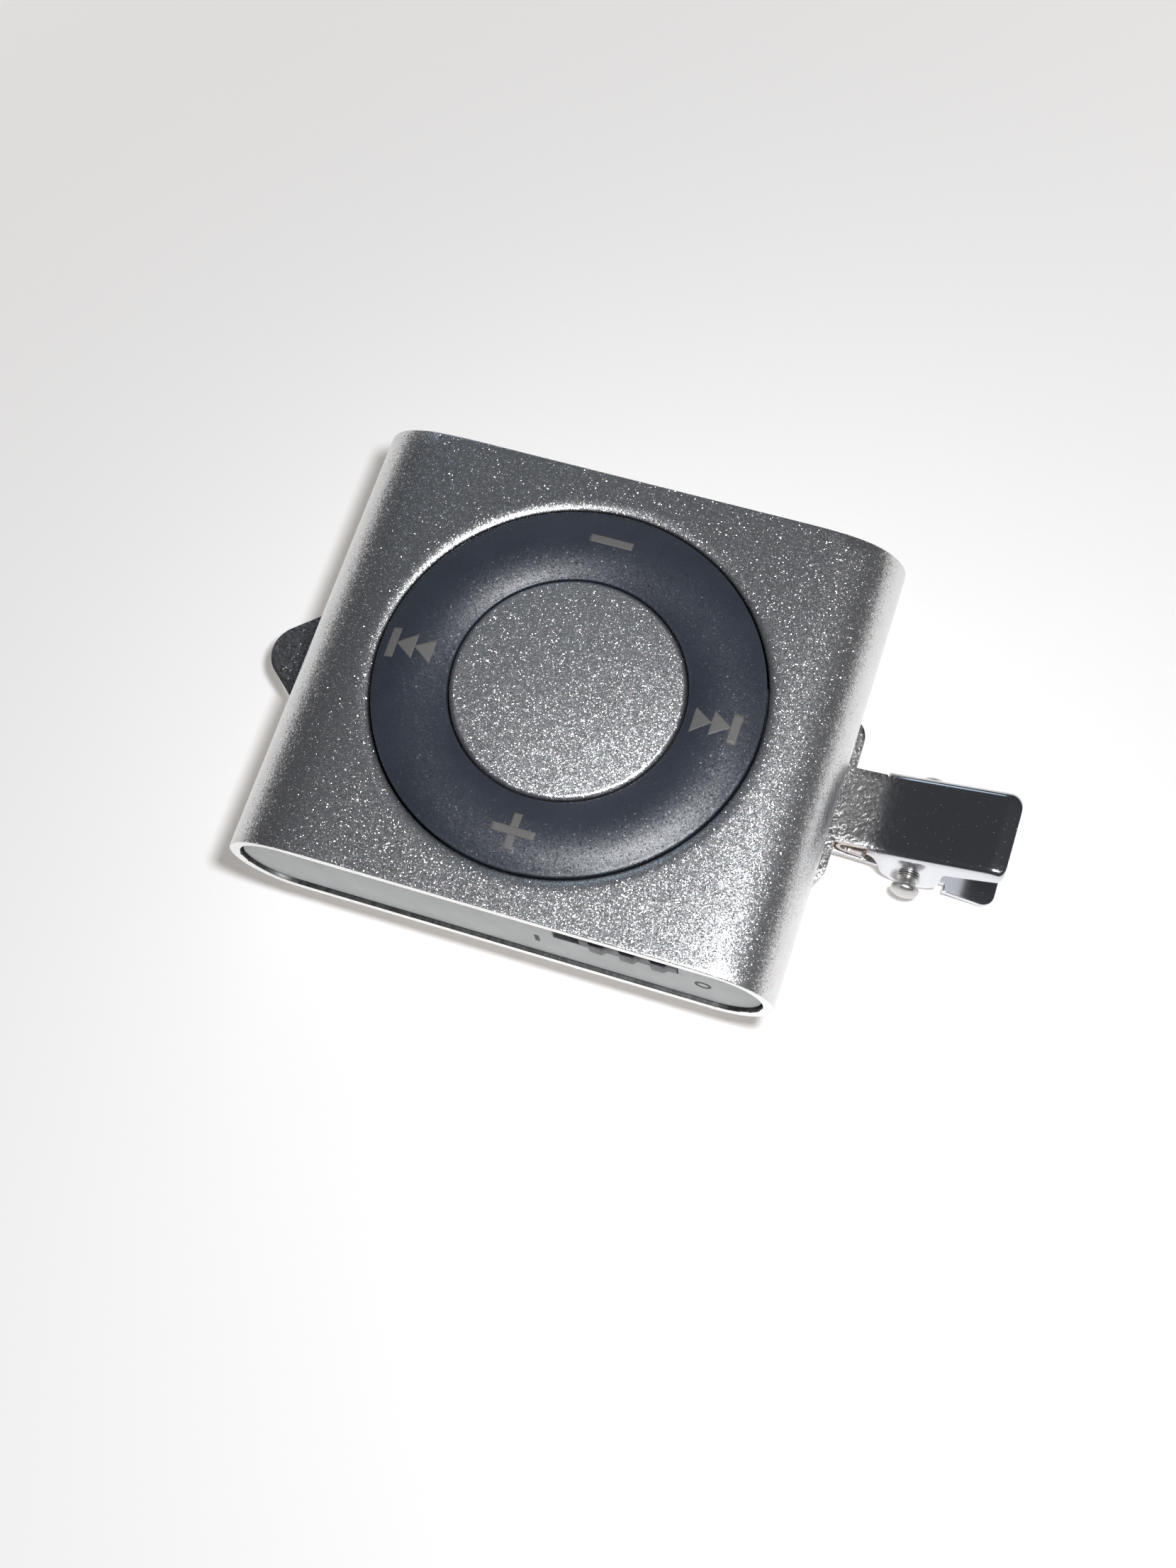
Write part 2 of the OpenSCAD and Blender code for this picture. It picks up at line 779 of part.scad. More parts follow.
from_face() housing_sleeve();
from_face() switch_end_cap();
from_face() port_end_cap();
from_face() chassis();
from_face() circuit_board();
from_face() board_screws();
from_face() main_chip();
from_face() memory_chip();
from_face() crystal();
from_face() board_capacitors();
from_face() status_led();
from_face() key_switches();
from_face() battery();
from_face() battery_tape();
from_face() battery_leads();
from_face() audio_jack();
from_face() jack_terminals();
from_face() usb_shell();
from_face() usb_tongue();
from_face() slide_switch_shell();
from_face() switch_actuator();
from_face() switch_knob();
from_face() ring_pad();
from_face() control_ring();
from_face() centre_button();
from_face() clip_base();
from_face() clip_rivets();
from_face() clip_jaw();
from_face() clip_pin();
from_face() clip_spring();
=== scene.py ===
"""Looks of a clip-on digital audio player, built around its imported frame.

Shapes are drawn in millimetres from the centre of the control face: X runs
along the clip towards its finger levers, Y towards the socket end, Z up out of
the face. Shape.piece() puts them in the frame, in metres.
"""
import math

import bmesh
import bpy
from mathutils import Matrix, Quaternion, Vector


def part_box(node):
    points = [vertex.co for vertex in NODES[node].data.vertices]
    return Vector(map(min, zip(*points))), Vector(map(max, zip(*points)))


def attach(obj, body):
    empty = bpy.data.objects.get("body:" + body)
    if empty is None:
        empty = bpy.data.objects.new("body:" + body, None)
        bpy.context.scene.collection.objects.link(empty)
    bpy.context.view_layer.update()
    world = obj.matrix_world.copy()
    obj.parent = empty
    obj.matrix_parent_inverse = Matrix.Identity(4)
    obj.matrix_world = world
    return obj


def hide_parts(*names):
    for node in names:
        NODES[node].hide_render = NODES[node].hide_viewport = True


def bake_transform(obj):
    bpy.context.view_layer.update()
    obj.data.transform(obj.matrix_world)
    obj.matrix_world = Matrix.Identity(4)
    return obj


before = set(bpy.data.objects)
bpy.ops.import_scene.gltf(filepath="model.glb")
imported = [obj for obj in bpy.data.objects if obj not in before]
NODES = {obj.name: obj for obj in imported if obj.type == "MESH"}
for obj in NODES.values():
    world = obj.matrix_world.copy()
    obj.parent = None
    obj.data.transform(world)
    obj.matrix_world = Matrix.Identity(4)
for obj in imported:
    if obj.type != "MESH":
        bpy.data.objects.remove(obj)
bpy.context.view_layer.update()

MM = 0.001

# ---------------------------------------------------------------- sizes from the frame

sleeve_low, sleeve_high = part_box("housing_sleeve")
FACE = Vector(((sleeve_low.x + sleeve_high.x) / 2, 0, sleeve_high.z))


def span(node):
    """Lowest and highest corner of a CAD node, in millimetres from the face's centre."""
    low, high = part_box(node)
    return (low - FACE) / MM, (high - FACE) / MM


SLEEVE = span("housing_sleeve")
RING = span("control_ring")
BUTTON = span("centre_button")
NEAR_CAP = span("switch_end_cap")
PIN = span("clip_pin")
BASE = span("clip_base")
JAW = span("clip_jaw")
SPRING = span("clip_spring")

# Sleeve: wall, radius of its round sides, and where those sides, its ends and its back are
WALL = 0.8
SLEEVE_R = -SLEEVE[0].z / 2
SIDE_X = SLEEVE[1].x - SLEEVE_R
END_Y = SLEEVE[1].y
BACK_Z = SLEEVE[0].z

# The control face is flat as far as CROWN_X, then eases down over CROWN_W
CROWN_X = 10.0
CROWN_POWER = 4.4
CROWN_W = SLEEVE[1].x - CROWN_X

# Ring, its hole in the face, the button inside it, and the circle that the signs lie on
RING_TAB = 0.75
RING_R = RING[1].x - RING_TAB
RING_INNER_R = 8.5
RING_EDGE_Z = -0.18
SIGN_LIFT = 0.012
RING_CROWN = RING[1].z - RING_EDGE_Z - 2 * SIGN_LIFT
HOLE_R = RING_R + 0.15
BUTTON_FLANGE = 0.52
BUTTON_R = BUTTON[1].x - BUTTON_FLANGE
KEY_R = 11.2

# Clip: sheet, middle line, hinge, and half widths and ends of the upper half's neck and lever
SHEET_T = 0.5
CLIP_Y = 0.4
PIN_X = (PIN[0].x + PIN[1].x) / 2
PIN_Z = (PIN[0].z + PIN[1].z) / 2
PIN_R = 0.6
LEVER_HALF = 3.25
NECK_HALF = 2.875
NECK_END = 22.6
LEVER_START = 22.75
LOBE_R = 2.2
FOLD_R = 0.55


# ---------------------------------------------------------------- mesh helpers

class Shape:
    """Points in millimetres from the face's centre, and the faces between them."""

    def __init__(self):
        self.points = []
        self.faces = []

    def grid(self, rows):
        """Joins rows of points, all of one length, with four-sided faces."""
        first, width = len(self.points), len(rows[0])
        for row in rows:
            self.points.extend(row)
        for i in range(len(rows) - 1):
            for j in range(width - 1):
                a = first + i * width + j
                self.faces.append((a, a + 1, a + width + 1, a + width))

    def prism(self, outline, offset):
        """A solid between a flat convex outline and the same outline moved by offset."""
        first, n = len(self.points), len(outline)
        offset = Vector(offset)
        self.points.extend(Vector(p) for p in outline)
        self.points.extend(Vector(p) + offset for p in outline)
        self.faces.append(tuple(range(first, first + n)))
        self.faces.append(tuple(range(first + n, first + 2 * n)))
        for i in range(n):
            j = (i + 1) % n
            self.faces.append((first + i, first + j, first + n + j, first + n + i))

    def lathe(self, profile, around, centre=(0, 0, 0), along_y=False):
        """Turns a profile of (radius, height) points about Z, or about Y."""
        rows = []
        for i in range(around + 1):
            a = 2 * math.pi * (i % around) / around
            c, s = math.cos(a), math.sin(a)
            rows.append([
                Vector(centre) + (Vector((r * c, h, r * s)) if along_y else Vector((r * c, r * s, h)))
                for r, h in profile
            ])
        self.grid(rows)

    def piece(self, name, body, slot, materials, nodes=(), choose=None, sharp=35):
        """The finished object: welded, shaded, in the frame and riding on its body, if it has one."""
        bm = bmesh.new()
        verts = [bm.verts.new(FACE + Vector(p) * MM) for p in self.points]
        for face in self.faces:
            bm.faces.new([verts[i] for i in face])
        bmesh.ops.remove_doubles(bm, verts=bm.verts, dist=2e-7)
        bmesh.ops.dissolve_degenerate(bm, edges=bm.edges, dist=2e-7)
        bmesh.ops.recalc_face_normals(bm, faces=bm.faces)
        bm.normal_update()
        for face in bm.faces:
            face.smooth = True
            if choose:
                face.material_index = choose(face.normal, (face.calc_center_median() - FACE) / MM)
        for edge in bm.edges:
            angle = edge.calc_face_angle(0)
            edge.smooth = angle < math.radians(sharp)
        mesh = bpy.data.meshes.new(name)
        bm.to_mesh(mesh)
        bm.free()
        for material in materials:
            mesh.materials.append(material)
        made = bpy.data.objects.new(name, mesh)
        bpy.context.scene.collection.objects.link(made)
        if body:
            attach(made, body)
        if nodes:
            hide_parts(*nodes)
        return made


def thicken(piece, thickness, side=-1):
    """Gives a sheet its thickness in millimetres, behind its faces (-1) or to both sides (0)."""
    solid = piece.modifiers.new("sheet", "SOLIDIFY")
    solid.thickness = thickness * MM
    solid.offset = side


def soften(piece, width, segments=3, angle=40):
    """Rounds a piece's sharp edges by a width in millimetres."""
    bevel = piece.modifiers.new("edges", "BEVEL")
    bevel.width = width * MM
    bevel.segments = segments
    bevel.limit_method = "ANGLE"
    bevel.angle_limit = math.radians(angle)
    bevel.harden_normals = False
    normals = piece.modifiers.new("normals", "WEIGHTED_NORMAL")
    normals.keep_sharp = False


def steps(a, b, n):
    """n + 1 numbers from a to b, evenly apart."""
    return [a + (b - a) * i / n for i in range(n + 1)]


def rounded(line, radius, n=6):
    """The same line of (x, z) points with each inner corner turned into a curve."""
    out = [Vector(line[0])]
    for before, corner, after in zip(line, line[1:], line[2:]):
        before, corner, after = Vector(before), Vector(corner), Vector(after)
        a = corner + (before - corner) * min(0.45, radius / (before - corner).length)
        b = corner + (after - corner) * min(0.45, radius / (after - corner).length)
        for t in steps(0, 1, n):
            out.append(a * (1 - t) ** 2 + corner * 2 * t * (1 - t) + b * t * t)
    out.append(Vector(line[-1]))
    return out


def height_on(line, x):
    """Height of a line of (x, z) points at x."""
    if x <= line[0].x:
        return line[0].y
    for a, b in zip(line, line[1:]):
        if x <= b.x:
            return a.y + (b.y - a.y) * (x - a.x) / max(b.x - a.x, 1e-9)
    return line[-1].y


# ---------------------------------------------------------------- material helpers

class Nodes:
    """Short ways to add shader nodes to a node tree."""

    def __init__(self, tree):
        self.tree = tree

    def fill(self, socket, value):
        """Links a socket to another one, or sets its value."""
        if isinstance(value, bpy.types.NodeSocket):
            self.tree.links.new(value, socket)
        else:
            socket.default_value = value

    def node(self, kind, values=(), **settings):
        """Adds a node, fills its inputs by name or number, and sets its own settings."""
        made = self.tree.nodes.new("ShaderNode" + kind)
        for name, value in settings.items():
            setattr(made, name, value)
        for key, value in dict(values).items():
            self.fill(made.inputs[key], value)
        return made

    def math(self, operation, a, b=0.0):
        """Result of a Math node on one or two values."""
        return self.node("Math", {0: a, 1: b}, operation=operation).outputs[0]

    def ramp(self, value, low, high, to_low=0.0, to_high=1.0):
        """Maps low..high onto to_low..to_high, smoothly, and holds the ends."""
        made = self.node("MapRange", {"Value": value, "From Min": low, "From Max": high,
                                      "To Min": to_low, "To Max": to_high})
        made.interpolation_type = "SMOOTHSTEP"
        return made.outputs["Result"]

    def mix(self, share, a, b):
        """Colour a at share 0 and colour b at share 1."""
        made = self.node("Mix", data_type="RGBA")
        self.fill(made.inputs["Factor"], share)
        self.fill([s for s in made.inputs if s.name == "A" and s.type == "RGBA"][0], a)
        self.fill([s for s in made.inputs if s.name == "B" and s.type == "RGBA"][0], b)
        return [s for s in made.outputs if s.type == "RGBA"][0]


class Look(Nodes):
    """A node material round one Principled shader."""

    def __init__(self, name, **sockets):
        self.material = bpy.data.materials.new(name)
        self.material.use_nodes = True
        super().__init__(self.material.node_tree)
        self.shader = self.tree.nodes["Principled BSDF"]
        self.set(**sockets)

    def set(self, **sockets):
        """Puts values or links on the shader, with _ for a space in a socket's name."""
        for name, value in sockets.items():
            self.fill(self.shader.inputs[name.replace("_", " ")], value)

    def place(self, stretch=(1, 1, 1)):
        """Position on the object in millimetres, times stretch."""
        where = self.node("TexCoord").outputs["Object"]
        scale = [s / MM for s in stretch]
        return self.node("Mapping", {"Vector": where, "Scale": scale}).outputs["Vector"]

    def noise(self, size, where=None, detail=3.0, roughness=0.6):
        """Soft noise with features of a size in millimetres."""
        values = {"Vector": where or self.place(), "Scale": 1 / size, "Detail": detail,
                  "Roughness": roughness}
        return self.node("TexNoise", values).outputs["Fac"]

    def cells(self, size):
        """Random cells of a size in millimetres: the node."""
        return self.node("TexVoronoi", {"Vector": self.place(), "Scale": 1 / size})

    def bump(self, height, strength, depth, normal=None):
        """Bump of a height map whose full range is a depth in millimetres."""
        values = {"Height": height, "Strength": strength, "Distance": depth * MM}
        if normal:
            values["Normal"] = normal
        return self.node("Bump", values).outputs["Normal"]

    def facets(self, cells, spread):
        """Surface normal of tiny facets: most lean a little, and a few lean a lot."""
        chance = self.node("SeparateColor", {0: cells.outputs["Color"]}).outputs[0]
        odds = self.math("DIVIDE", chance, self.math("SUBTRACT", 1.03, chance))
        slope = self.math("MULTIPLY", self.math("SQRT", odds), spread)
        other = self.node("TexWhiteNoise", {"Vector": cells.outputs["Position"]}).outputs["Color"]
        centred = self.node("VectorMath", {0: other, 1: (0.5, 0.5, 0.5)}, operation="SUBTRACT")
        way = self.node("VectorMath", {0: centred.outputs[0]}, operation="NORMALIZE")
        lean = self.node("VectorMath", {0: way.outputs[0], "Scale": slope}, operation="SCALE")
        normal = self.node("NewGeometry").outputs["Normal"]
        total = self.node("VectorMath", {0: normal, 1: lean.outputs[0]}, operation="ADD")
        return self.node("VectorMath", {0: total.outputs[0]}, operation="NORMALIZE").outputs[0]

    def axis(self, name):
        """One coordinate of the place on the object, in millimetres from the face's centre."""
        parts = self.node("SeparateXYZ", {0: self.place()})
        middle = {"X": FACE.x, "Y": FACE.y, "Z": FACE.z}[name] / MM
        return self.math("SUBTRACT", parts.outputs[name], middle)


def grey(level, warmth=0.0):
    """A grey, a little redder with some warmth."""
    return (level * (1 + warmth), level, level * (1 - warmth), 1.0)


# ---------------------------------------------------------------- materials

def blasted_aluminium(name, level, cell, spread, roughness):
    """Bead-blasted, clear-anodised aluminium: tiny facets that glint in faint colours."""
    look = Look(name, Metallic=1.0)
    cells = look.cells(cell)
    tint = look.mix(0.13, grey(level), cells.outputs["Color"])
    cloud = look.noise(1.3, detail=4)
    base = look.mix(look.ramp(cloud, 0.35, 0.75, 0.0, 0.3), tint, grey(level * 0.86, 0.005))
    facets = look.facets(cells, spread)
    scratch = look.ramp(look.noise(0.5, look.place((0.04, 1.6, 1)), detail=2), 0.72, 0.78)
    normal = look.bump(scratch, 0.2, 0.002, facets)
    sparkle = look.ramp(cells.outputs["Distance"], 0.0, 0.55, roughness - 0.03, roughness + 0.03)
    look.set(Base_Color=base, Roughness=sparkle, Normal=normal)
    return look.material


def bore_painted_shade():
    """Drawn inside of the sleeve: dull, with long streaks along its length, and dark grey as painted shade.
    """
    look = Look("bore_painted_shade", Metallic=1.0)
    streak = look.noise(0.3, look.place((1, 0.1, 1)), detail=3)
    # Painted shade: the inner walls are coloured near-black, darker than the aluminium is.
    base = look.mix(look.ramp(streak, 0.35, 0.7), grey(0.07), grey(0.12, 0.01))
    look.set(Base_Color=base, Roughness=look.ramp(streak, 0.3, 0.7, 0.38, 0.5),
             Normal=look.bump(streak, 0.4, 0.01))
    return look.material


def cut_aluminium():
    """The sawn and polished end of the sleeve, with faint lines round it."""
    look = Look("cut_aluminium", Metallic=1.0)
    lines = look.noise(0.09, look.place((0.2, 1, 0.2)), detail=2)
    base = look.mix(look.noise(0.8), grey(0.92), grey(0.84, 0.01))
    look.set(Base_Color=base, Roughness=look.ramp(lines, 0.3, 0.7, 0.22, 0.4),
             Normal=look.bump(lines, 0.2, 0.006))
    return look.material


def moulded(name, colour, other, roughness=0.45, grain=0.12, depth=0.01, specular=0.5):
    """Moulded plastic: two near colours in slow clouds, and a fine spark-eroded grain."""
    look = Look(name, Specular_IOR_Level=specular)
    cloud = look.noise(2.2, detail=5)
    texture = look.noise(grain, detail=3)
    base = look.mix(look.ramp(cloud, 0.3, 0.7), colour, other)
    speck = look.mix(look.ramp(texture, 0.62, 0.8, 0.0, 0.25), base, grey(0.5))
    look.set(Base_Color=speck, Roughness=look.ramp(texture, 0.3, 0.7, roughness - 0.06, roughness + 0.08),
             Normal=look.bump(texture, 0.5, depth))
    return look.material


def ring_satin():
    """Blue-black soft-touch plastic of the control ring, with a fine grain and light rubs."""
    look = Look("ring_satin", Specular_IOR_Level=1.0)
    grain = look.noise(0.085, detail=4, roughness=0.8)
    facets = look.facets(look.cells(0.1), 0.05)
    cloud = look.noise(3.0, detail=4)
    base = look.mix(look.ramp(cloud, 0.3, 0.7), (0.022, 0.028, 0.042, 1), (0.029, 0.036, 0.052, 1))
    rub = look.ramp(look.noise(0.28, look.place((1, 0.12, 1)), detail=3), 0.7, 0.82)
    worn = look.mix(look.math("MULTIPLY", rub, 0.35), base, (0.05, 0.06, 0.08, 1))
    look.set(Base_Color=worn, Roughness=look.ramp(grain, 0.35, 0.65, 0.34, 0.5),
             Normal=look.bump(grain, 0.6, 0.012, facets))
    return look.material


def sign_paint():
    """Grey-brown print of the signs on the ring, thin enough to show the grain."""
    look = Look("sign_paint")
    grain = look.noise(0.09, detail=3)
    base = look.mix(look.ramp(grain, 0.35, 0.75), (0.165, 0.158, 0.151, 1), (0.125, 0.119, 0.114, 1))
    look.set(Base_Color=base, Roughness=look.ramp(grain, 0.3, 0.7, 0.5, 0.62),
             Normal=look.bump(grain, 0.4, 0.01))
    return look.material


def plated_steel():
    """Nickel-plated pressed steel: worn and hammered at the neck, a mirror on the lever."""
    look = Look("plated_steel", Metallic=1.0)
    x = look.axis("X")
    mirror = look.ramp(look.math("ADD", x, look.math("MULTIPLY", look.noise(1.2), 1.6)), 22.9, 25.4)
    pits = look.noise(0.22, look.place((1, 0.8, 1)), detail=4, roughness=0.75)
    peen = look.cells(0.3)
    rough_skin = look.math("ADD", pits, look.math("MULTIPLY", peen.outputs["Distance"], 0.6))
    wear = look.math("SUBTRACT", 1.0, mirror)
    ripple = look.noise(2.4, detail=2)
    skin = look.math("MULTIPLY", rough_skin, wear)
    normal = look.bump(look.math("ADD", skin, look.math("MULTIPLY", ripple, 0.05)), 0.8, 0.06)
    specks = look.ramp(look.noise(0.16, detail=2), 0.70, 0.76)
    base = look.mix(look.ramp(pits, 0.4, 0.66), grey(0.4, 0.015), grey(0.74, 0.012))
    plain = look.mix(specks, (0.68, 0.69, 0.72, 1), grey(0.95))
    finish = look.math("ADD", look.math("MULTIPLY", mirror, 0.15), look.math("MULTIPLY", wear, 0.2))
    rough = look.math("ADD", finish, look.math("MULTIPLY", specks, 0.35))
    look.set(Base_Color=look.mix(mirror, base, plain), Roughness=rough, Normal=normal)
    return look.material


def turned_steel(name, level, warmth, roughness):
    """Bright turned or drawn steel with fine turning lines and a few pits."""
    look = Look(name, Metallic=1.0)
    lines = look.noise(0.05, look.place((0.3, 1, 0.3)), detail=2)
    pits = look.ramp(look.noise(0.22), 0.66, 0.75)
    base = look.mix(pits, grey(level, warmth), grey(level * 0.5, warmth))
    look.set(Base_Color=base, Roughness=look.ramp(lines, 0.3, 0.7, roughness - 0.05, roughness + 0.1),
             Normal=look.bump(look.math("ADD", lines, pits), 0.35, 0.012))
    return look.material


def spring_bronze():
    """Spring strip: dull silver faces, with copper showing where the plating has worn."""
    look = Look("spring_bronze", Metallic=1.0)
    worn = look.ramp(look.noise(0.9, detail=5), 0.42, 0.58)
    streak = look.noise(0.14, look.place((0.15, 1, 1)), detail=3)
    base = look.mix(worn, grey(0.55, 0.03), (0.58, 0.46, 0.38, 1))
    look.set(Base_Color=base, Roughness=look.ramp(streak, 0.3, 0.7, 0.22, 0.4),
             Normal=look.bump(streak, 0.3, 0.01))
    return look.material


def laminate():
    """Green solder mask with the copper tracks showing through as faint lines."""
    look = Look("laminate", Coat_Weight=0.4, Coat_Roughness=0.2)
    track = look.node("TexBrick", {"Vector": look.place(), "Scale": 0.6, "Mortar Size": 0.03,
                                   "Color1": (0.010, 0.085, 0.035, 1), "Color2": (0.013, 0.10, 0.042, 1),
                                   "Mortar": (0.03, 0.19, 0.08, 1)})
    weave = look.noise(0.25, detail=3)
    look.set(Base_Color=look.mix(look.ramp(weave, 0.4, 0.8, 0, 0.3), track.outputs["Color"],
                                 (0.02, 0.14, 0.06, 1)),
             Roughness=look.ramp(weave, 0.3, 0.7, 0.3, 0.45),
             Normal=look.bump(weave, 0.3, 0.01))
    return look.material


def lens_plastic():
    """Water-clear blue body of the status light, slightly milky inside."""
    look = Look("lens_plastic", IOR=1.49, Transmission_Weight=0.6)
    milk = look.noise(0.3, detail=3)
    look.set(Base_Color=look.mix(milk, (0.25, 0.55, 0.95, 1), (0.6, 0.8, 1.0, 1)),
             Roughness=look.ramp(milk, 0.3, 0.7, 0.12, 0.3))
    return look.material


ALUMINIUM = blasted_aluminium("blasted_aluminium", 0.84, 0.065, 0.095, 0.295)
BUTTON_ALUMINIUM = blasted_aluminium("blasted_button", 0.86, 0.065, 0.125, 0.345)
BORE_PAINTED_SHADE = bore_painted_shade()
CUT_END = cut_aluminium()
RING_SATIN = ring_satin()
SIGN_PAINT = sign_paint()
STEEL = plated_steel()
SPRING_BRONZE = spring_bronze()
PIN_STEEL = turned_steel("pin_steel", 0.62, 0.02, 0.33)
CAP_PLASTIC = moulded("cap_plastic", (0.53, 0.55, 0.55, 1), (0.58, 0.60, 0.60, 1), 0.5, 0.10, 0.006)
MARK_PLASTIC = moulded("mark_plastic", grey(0.035), grey(0.055), 0.4, specular=0.15)
# The switch knob's near-black is partly its own blue-grey plastic and partly painted shade, as it sits in
# shadow in its slot.
KNOB_PLASTIC_AND_SHADE = moulded("knob_plastic", (0.042, 0.044, 0.052, 1), (0.056, 0.059, 0.068, 1), 0.3, specular=0.2)

NODE_LOOKS = {
    "switch_end_cap": CAP_PLASTIC,
    "port_end_cap": CAP_PLASTIC,
    "chassis": moulded("frame_plastic", grey(0.05), grey(0.065), 0.5),
    "circuit_board": laminate(),
    "board_screws": turned_steel("screw_steel", 0.6, 0.02, 0.3),
    "main_chip": moulded("chip_resin", grey(0.018), grey(0.028), 0.5, 0.08, 0.006),
    "crystal": turned_steel("can_metal", 0.7, 0.01, 0.25),
    "board_capacitors": moulded("ceramic", (0.36, 0.27, 0.18, 1), (0.42, 0.33, 0.23, 1), 0.4),
    "status_led": lens_plastic(),
    "key_switches": moulded("key_plastic", grey(0.75), grey(0.66), 0.4),
    "battery": turned_steel("battery_foil", 0.75, 0.0, 0.35),
    "battery_tape": moulded("tape", (0.45, 0.35, 0.12, 1), (0.52, 0.42, 0.16, 1), 0.35),
    "battery_leads": moulded("lead_jacket", (0.42, 0.02, 0.02, 1), (0.5, 0.03, 0.03, 1), 0.4),
    "audio_jack": moulded("jack_plastic", grey(0.012), grey(0.02), 0.35),
    "jack_terminals": turned_steel("contact_metal", 0.75, 0.04, 0.3),
    "usb_shell": turned_steel("usb_steel", 0.66, 0.01, 0.24),
    "switch_knob": KNOB_PLASTIC_AND_SHADE,
    "ring_pad": moulded("pad_rubber", grey(0.5), grey(0.56), 0.6, 0.2, 0.012),
    "clip_rivets": PIN_STEEL,
}
NODE_LOOKS["memory_chip"] = NODE_LOOKS["main_chip"]
NODE_LOOKS["usb_tongue"] = NODE_LOOKS["audio_jack"]
NODE_LOOKS["switch_actuator"] = NODE_LOOKS["audio_jack"]
NODE_LOOKS["slide_switch_shell"] = NODE_LOOKS["crystal"]
EDGE_WIDTHS = {"switch_end_cap": 0.06, "port_end_cap": 0.06, "switch_knob": 0.09,
               "usb_shell": 0.05, "audio_jack": 0.05}


# ---------------------------------------------------------------- sleeve

def face_z(x):
    """Height of the control face at x: flat, then easing down towards the round sides."""
    share = min(max(abs(x) - CROWN_X, 0) / CROWN_W, 1)
    return SLEEVE_R * (math.sqrt(1 - share ** CROWN_POWER) - 1)


def side_line(r, side, n):
    """Half-oval side of the sleeve as (x, z) points: easing on top outside, round elsewhere."""
    start = math.asin((SIDE_X - CROWN_X) / CROWN_W) if r == SLEEVE_R else 0
    line = []
    for t in steps(start, math.pi / 2, n) + steps(math.pi / 2, math.pi, n)[1:]:
        x = SIDE_X + r * math.sin(t)
        z = r * math.cos(t) - SLEEVE_R
        if r == SLEEVE_R and t < math.pi / 2:
            x = CROWN_X + CROWN_W * math.sin(t)
            z = face_z(x)
        line.append((side * x, z))
    return line


def sleeve():
    """Flat-oval tube whose control face dips into the round hole for the ring."""
    shape = Shape()
    corner = math.atan2(END_Y, SIDE_X)
    lip_w, lip_h = 1.0, 0.34
    side_n, end_n, arc_n = 44, 44, 22
    angles = steps(-corner, corner, side_n)[:-1] + steps(corner, math.pi - corner, end_n)[:-1]
    angles += [a + math.pi for a in angles]
    angles.append(angles[0] + 2 * math.pi)

    def border(a):
        """Where the ray at angle a from the middle leaves the flat part between the round sides."""
        c, s = math.cos(a), math.sin(a)
        reach = min(SIDE_X / max(abs(c), 1e-9), END_Y / max(abs(s), 1e-9))
        return reach * c, reach * s

    lip = [(HOLE_R + lip_w * (1 - math.cos(t)), -lip_h * (1 - math.sin(t)))
           for t in steps(0, math.pi / 2, 10)]
    rows = []
    for a in angles:
        c, s = math.cos(a), math.sin(a)
        bx, by = border(a)
        row = [Vector((bx, by, -WALL)), Vector((HOLE_R * c, HOLE_R * s, -WALL))]
        row += [Vector((r * c, r * s, z + face_z(r * c))) for r, z in lip]
        edge = lip[-1][0]
        for share in (0.15, 0.3, 0.5, 0.7, 0.85, 0.95, 1.0):
            x = edge * c + (bx - edge * c) * share
            row.append(Vector((x, edge * s + (by - edge * s) * share, face_z(x))))
        rows.append(row)
    shape.grid(rows)

    mid_z = -SLEEVE_R
    ys = [border(a)[1] for a in steps(-corner, corner, side_n)]
    for side in (-1, 1):
        walls = [side_line(r, side, arc_n) for r in (SLEEVE_R, SLEEVE_R - WALL)]
        for line in walls:
            shape.grid([[Vector((x, y, z)) for x, z in line] for y in ys])
        for y in (-END_Y, END_Y):
            shape.grid([[Vector((x, y, z)) for x, z in line] for line in walls])
    xs = [border(a)[0] for a in steps(corner, math.pi - corner, end_n)]
    for y in (-END_Y, END_Y):
        top_edge = [Vector((x, y, face_z(x))) for x in xs]
        shape.grid([top_edge, [Vector((x, y, -WALL)) for x in xs]])
        shape.grid([[Vector((x, y, z)) for x in (-SIDE_X, SIDE_X)] for z in (BACK_Z, BACK_Z + WALL)])
    for z in (BACK_Z, BACK_Z + WALL):
        shape.grid([[Vector((x, y, z)) for x in (-SIDE_X, SIDE_X)] for y in ys])

    def finish(normal, centre):
        """Material of a face: 1 on the sawn ends, 2 on the inner walls, 0 outside."""
        if abs(normal.y) > 0.9 and abs(centre.y) > END_Y - 0.01:
            return 1
        side = abs(centre.x) - SIDE_X
        depth = math.hypot(max(side, 0), centre.z - mid_z)
        inside = side > 0 and depth < SLEEVE_R - WALL / 2
        flat = side <= 0 and (abs(centre.z + WALL) < 0.01 or abs(centre.z - BACK_Z - WALL) < 0.01)
        return 2 if inside or flat else 0

    made = shape.piece("sleeve_shell", "player", "sleeve", [ALUMINIUM, CUT_END, BORE_PAINTED_SHADE],
                       ["housing_sleeve"], choose=finish)
    soften(made, 0.13)


# ---------------------------------------------------------------- ring and button

def crown_z(r):
    """Height of the ring's crown at a radius."""
    middle = (RING_R + RING_INNER_R) / 2
    half = (RING_R - RING_INNER_R) / 2
    crown_r = (half * half + RING_CROWN * RING_CROWN) / (2 * RING_CROWN)
    return RING_EDGE_Z + RING_CROWN - crown_r + math.sqrt(max(crown_r ** 2 - (r - middle) ** 2, 0))


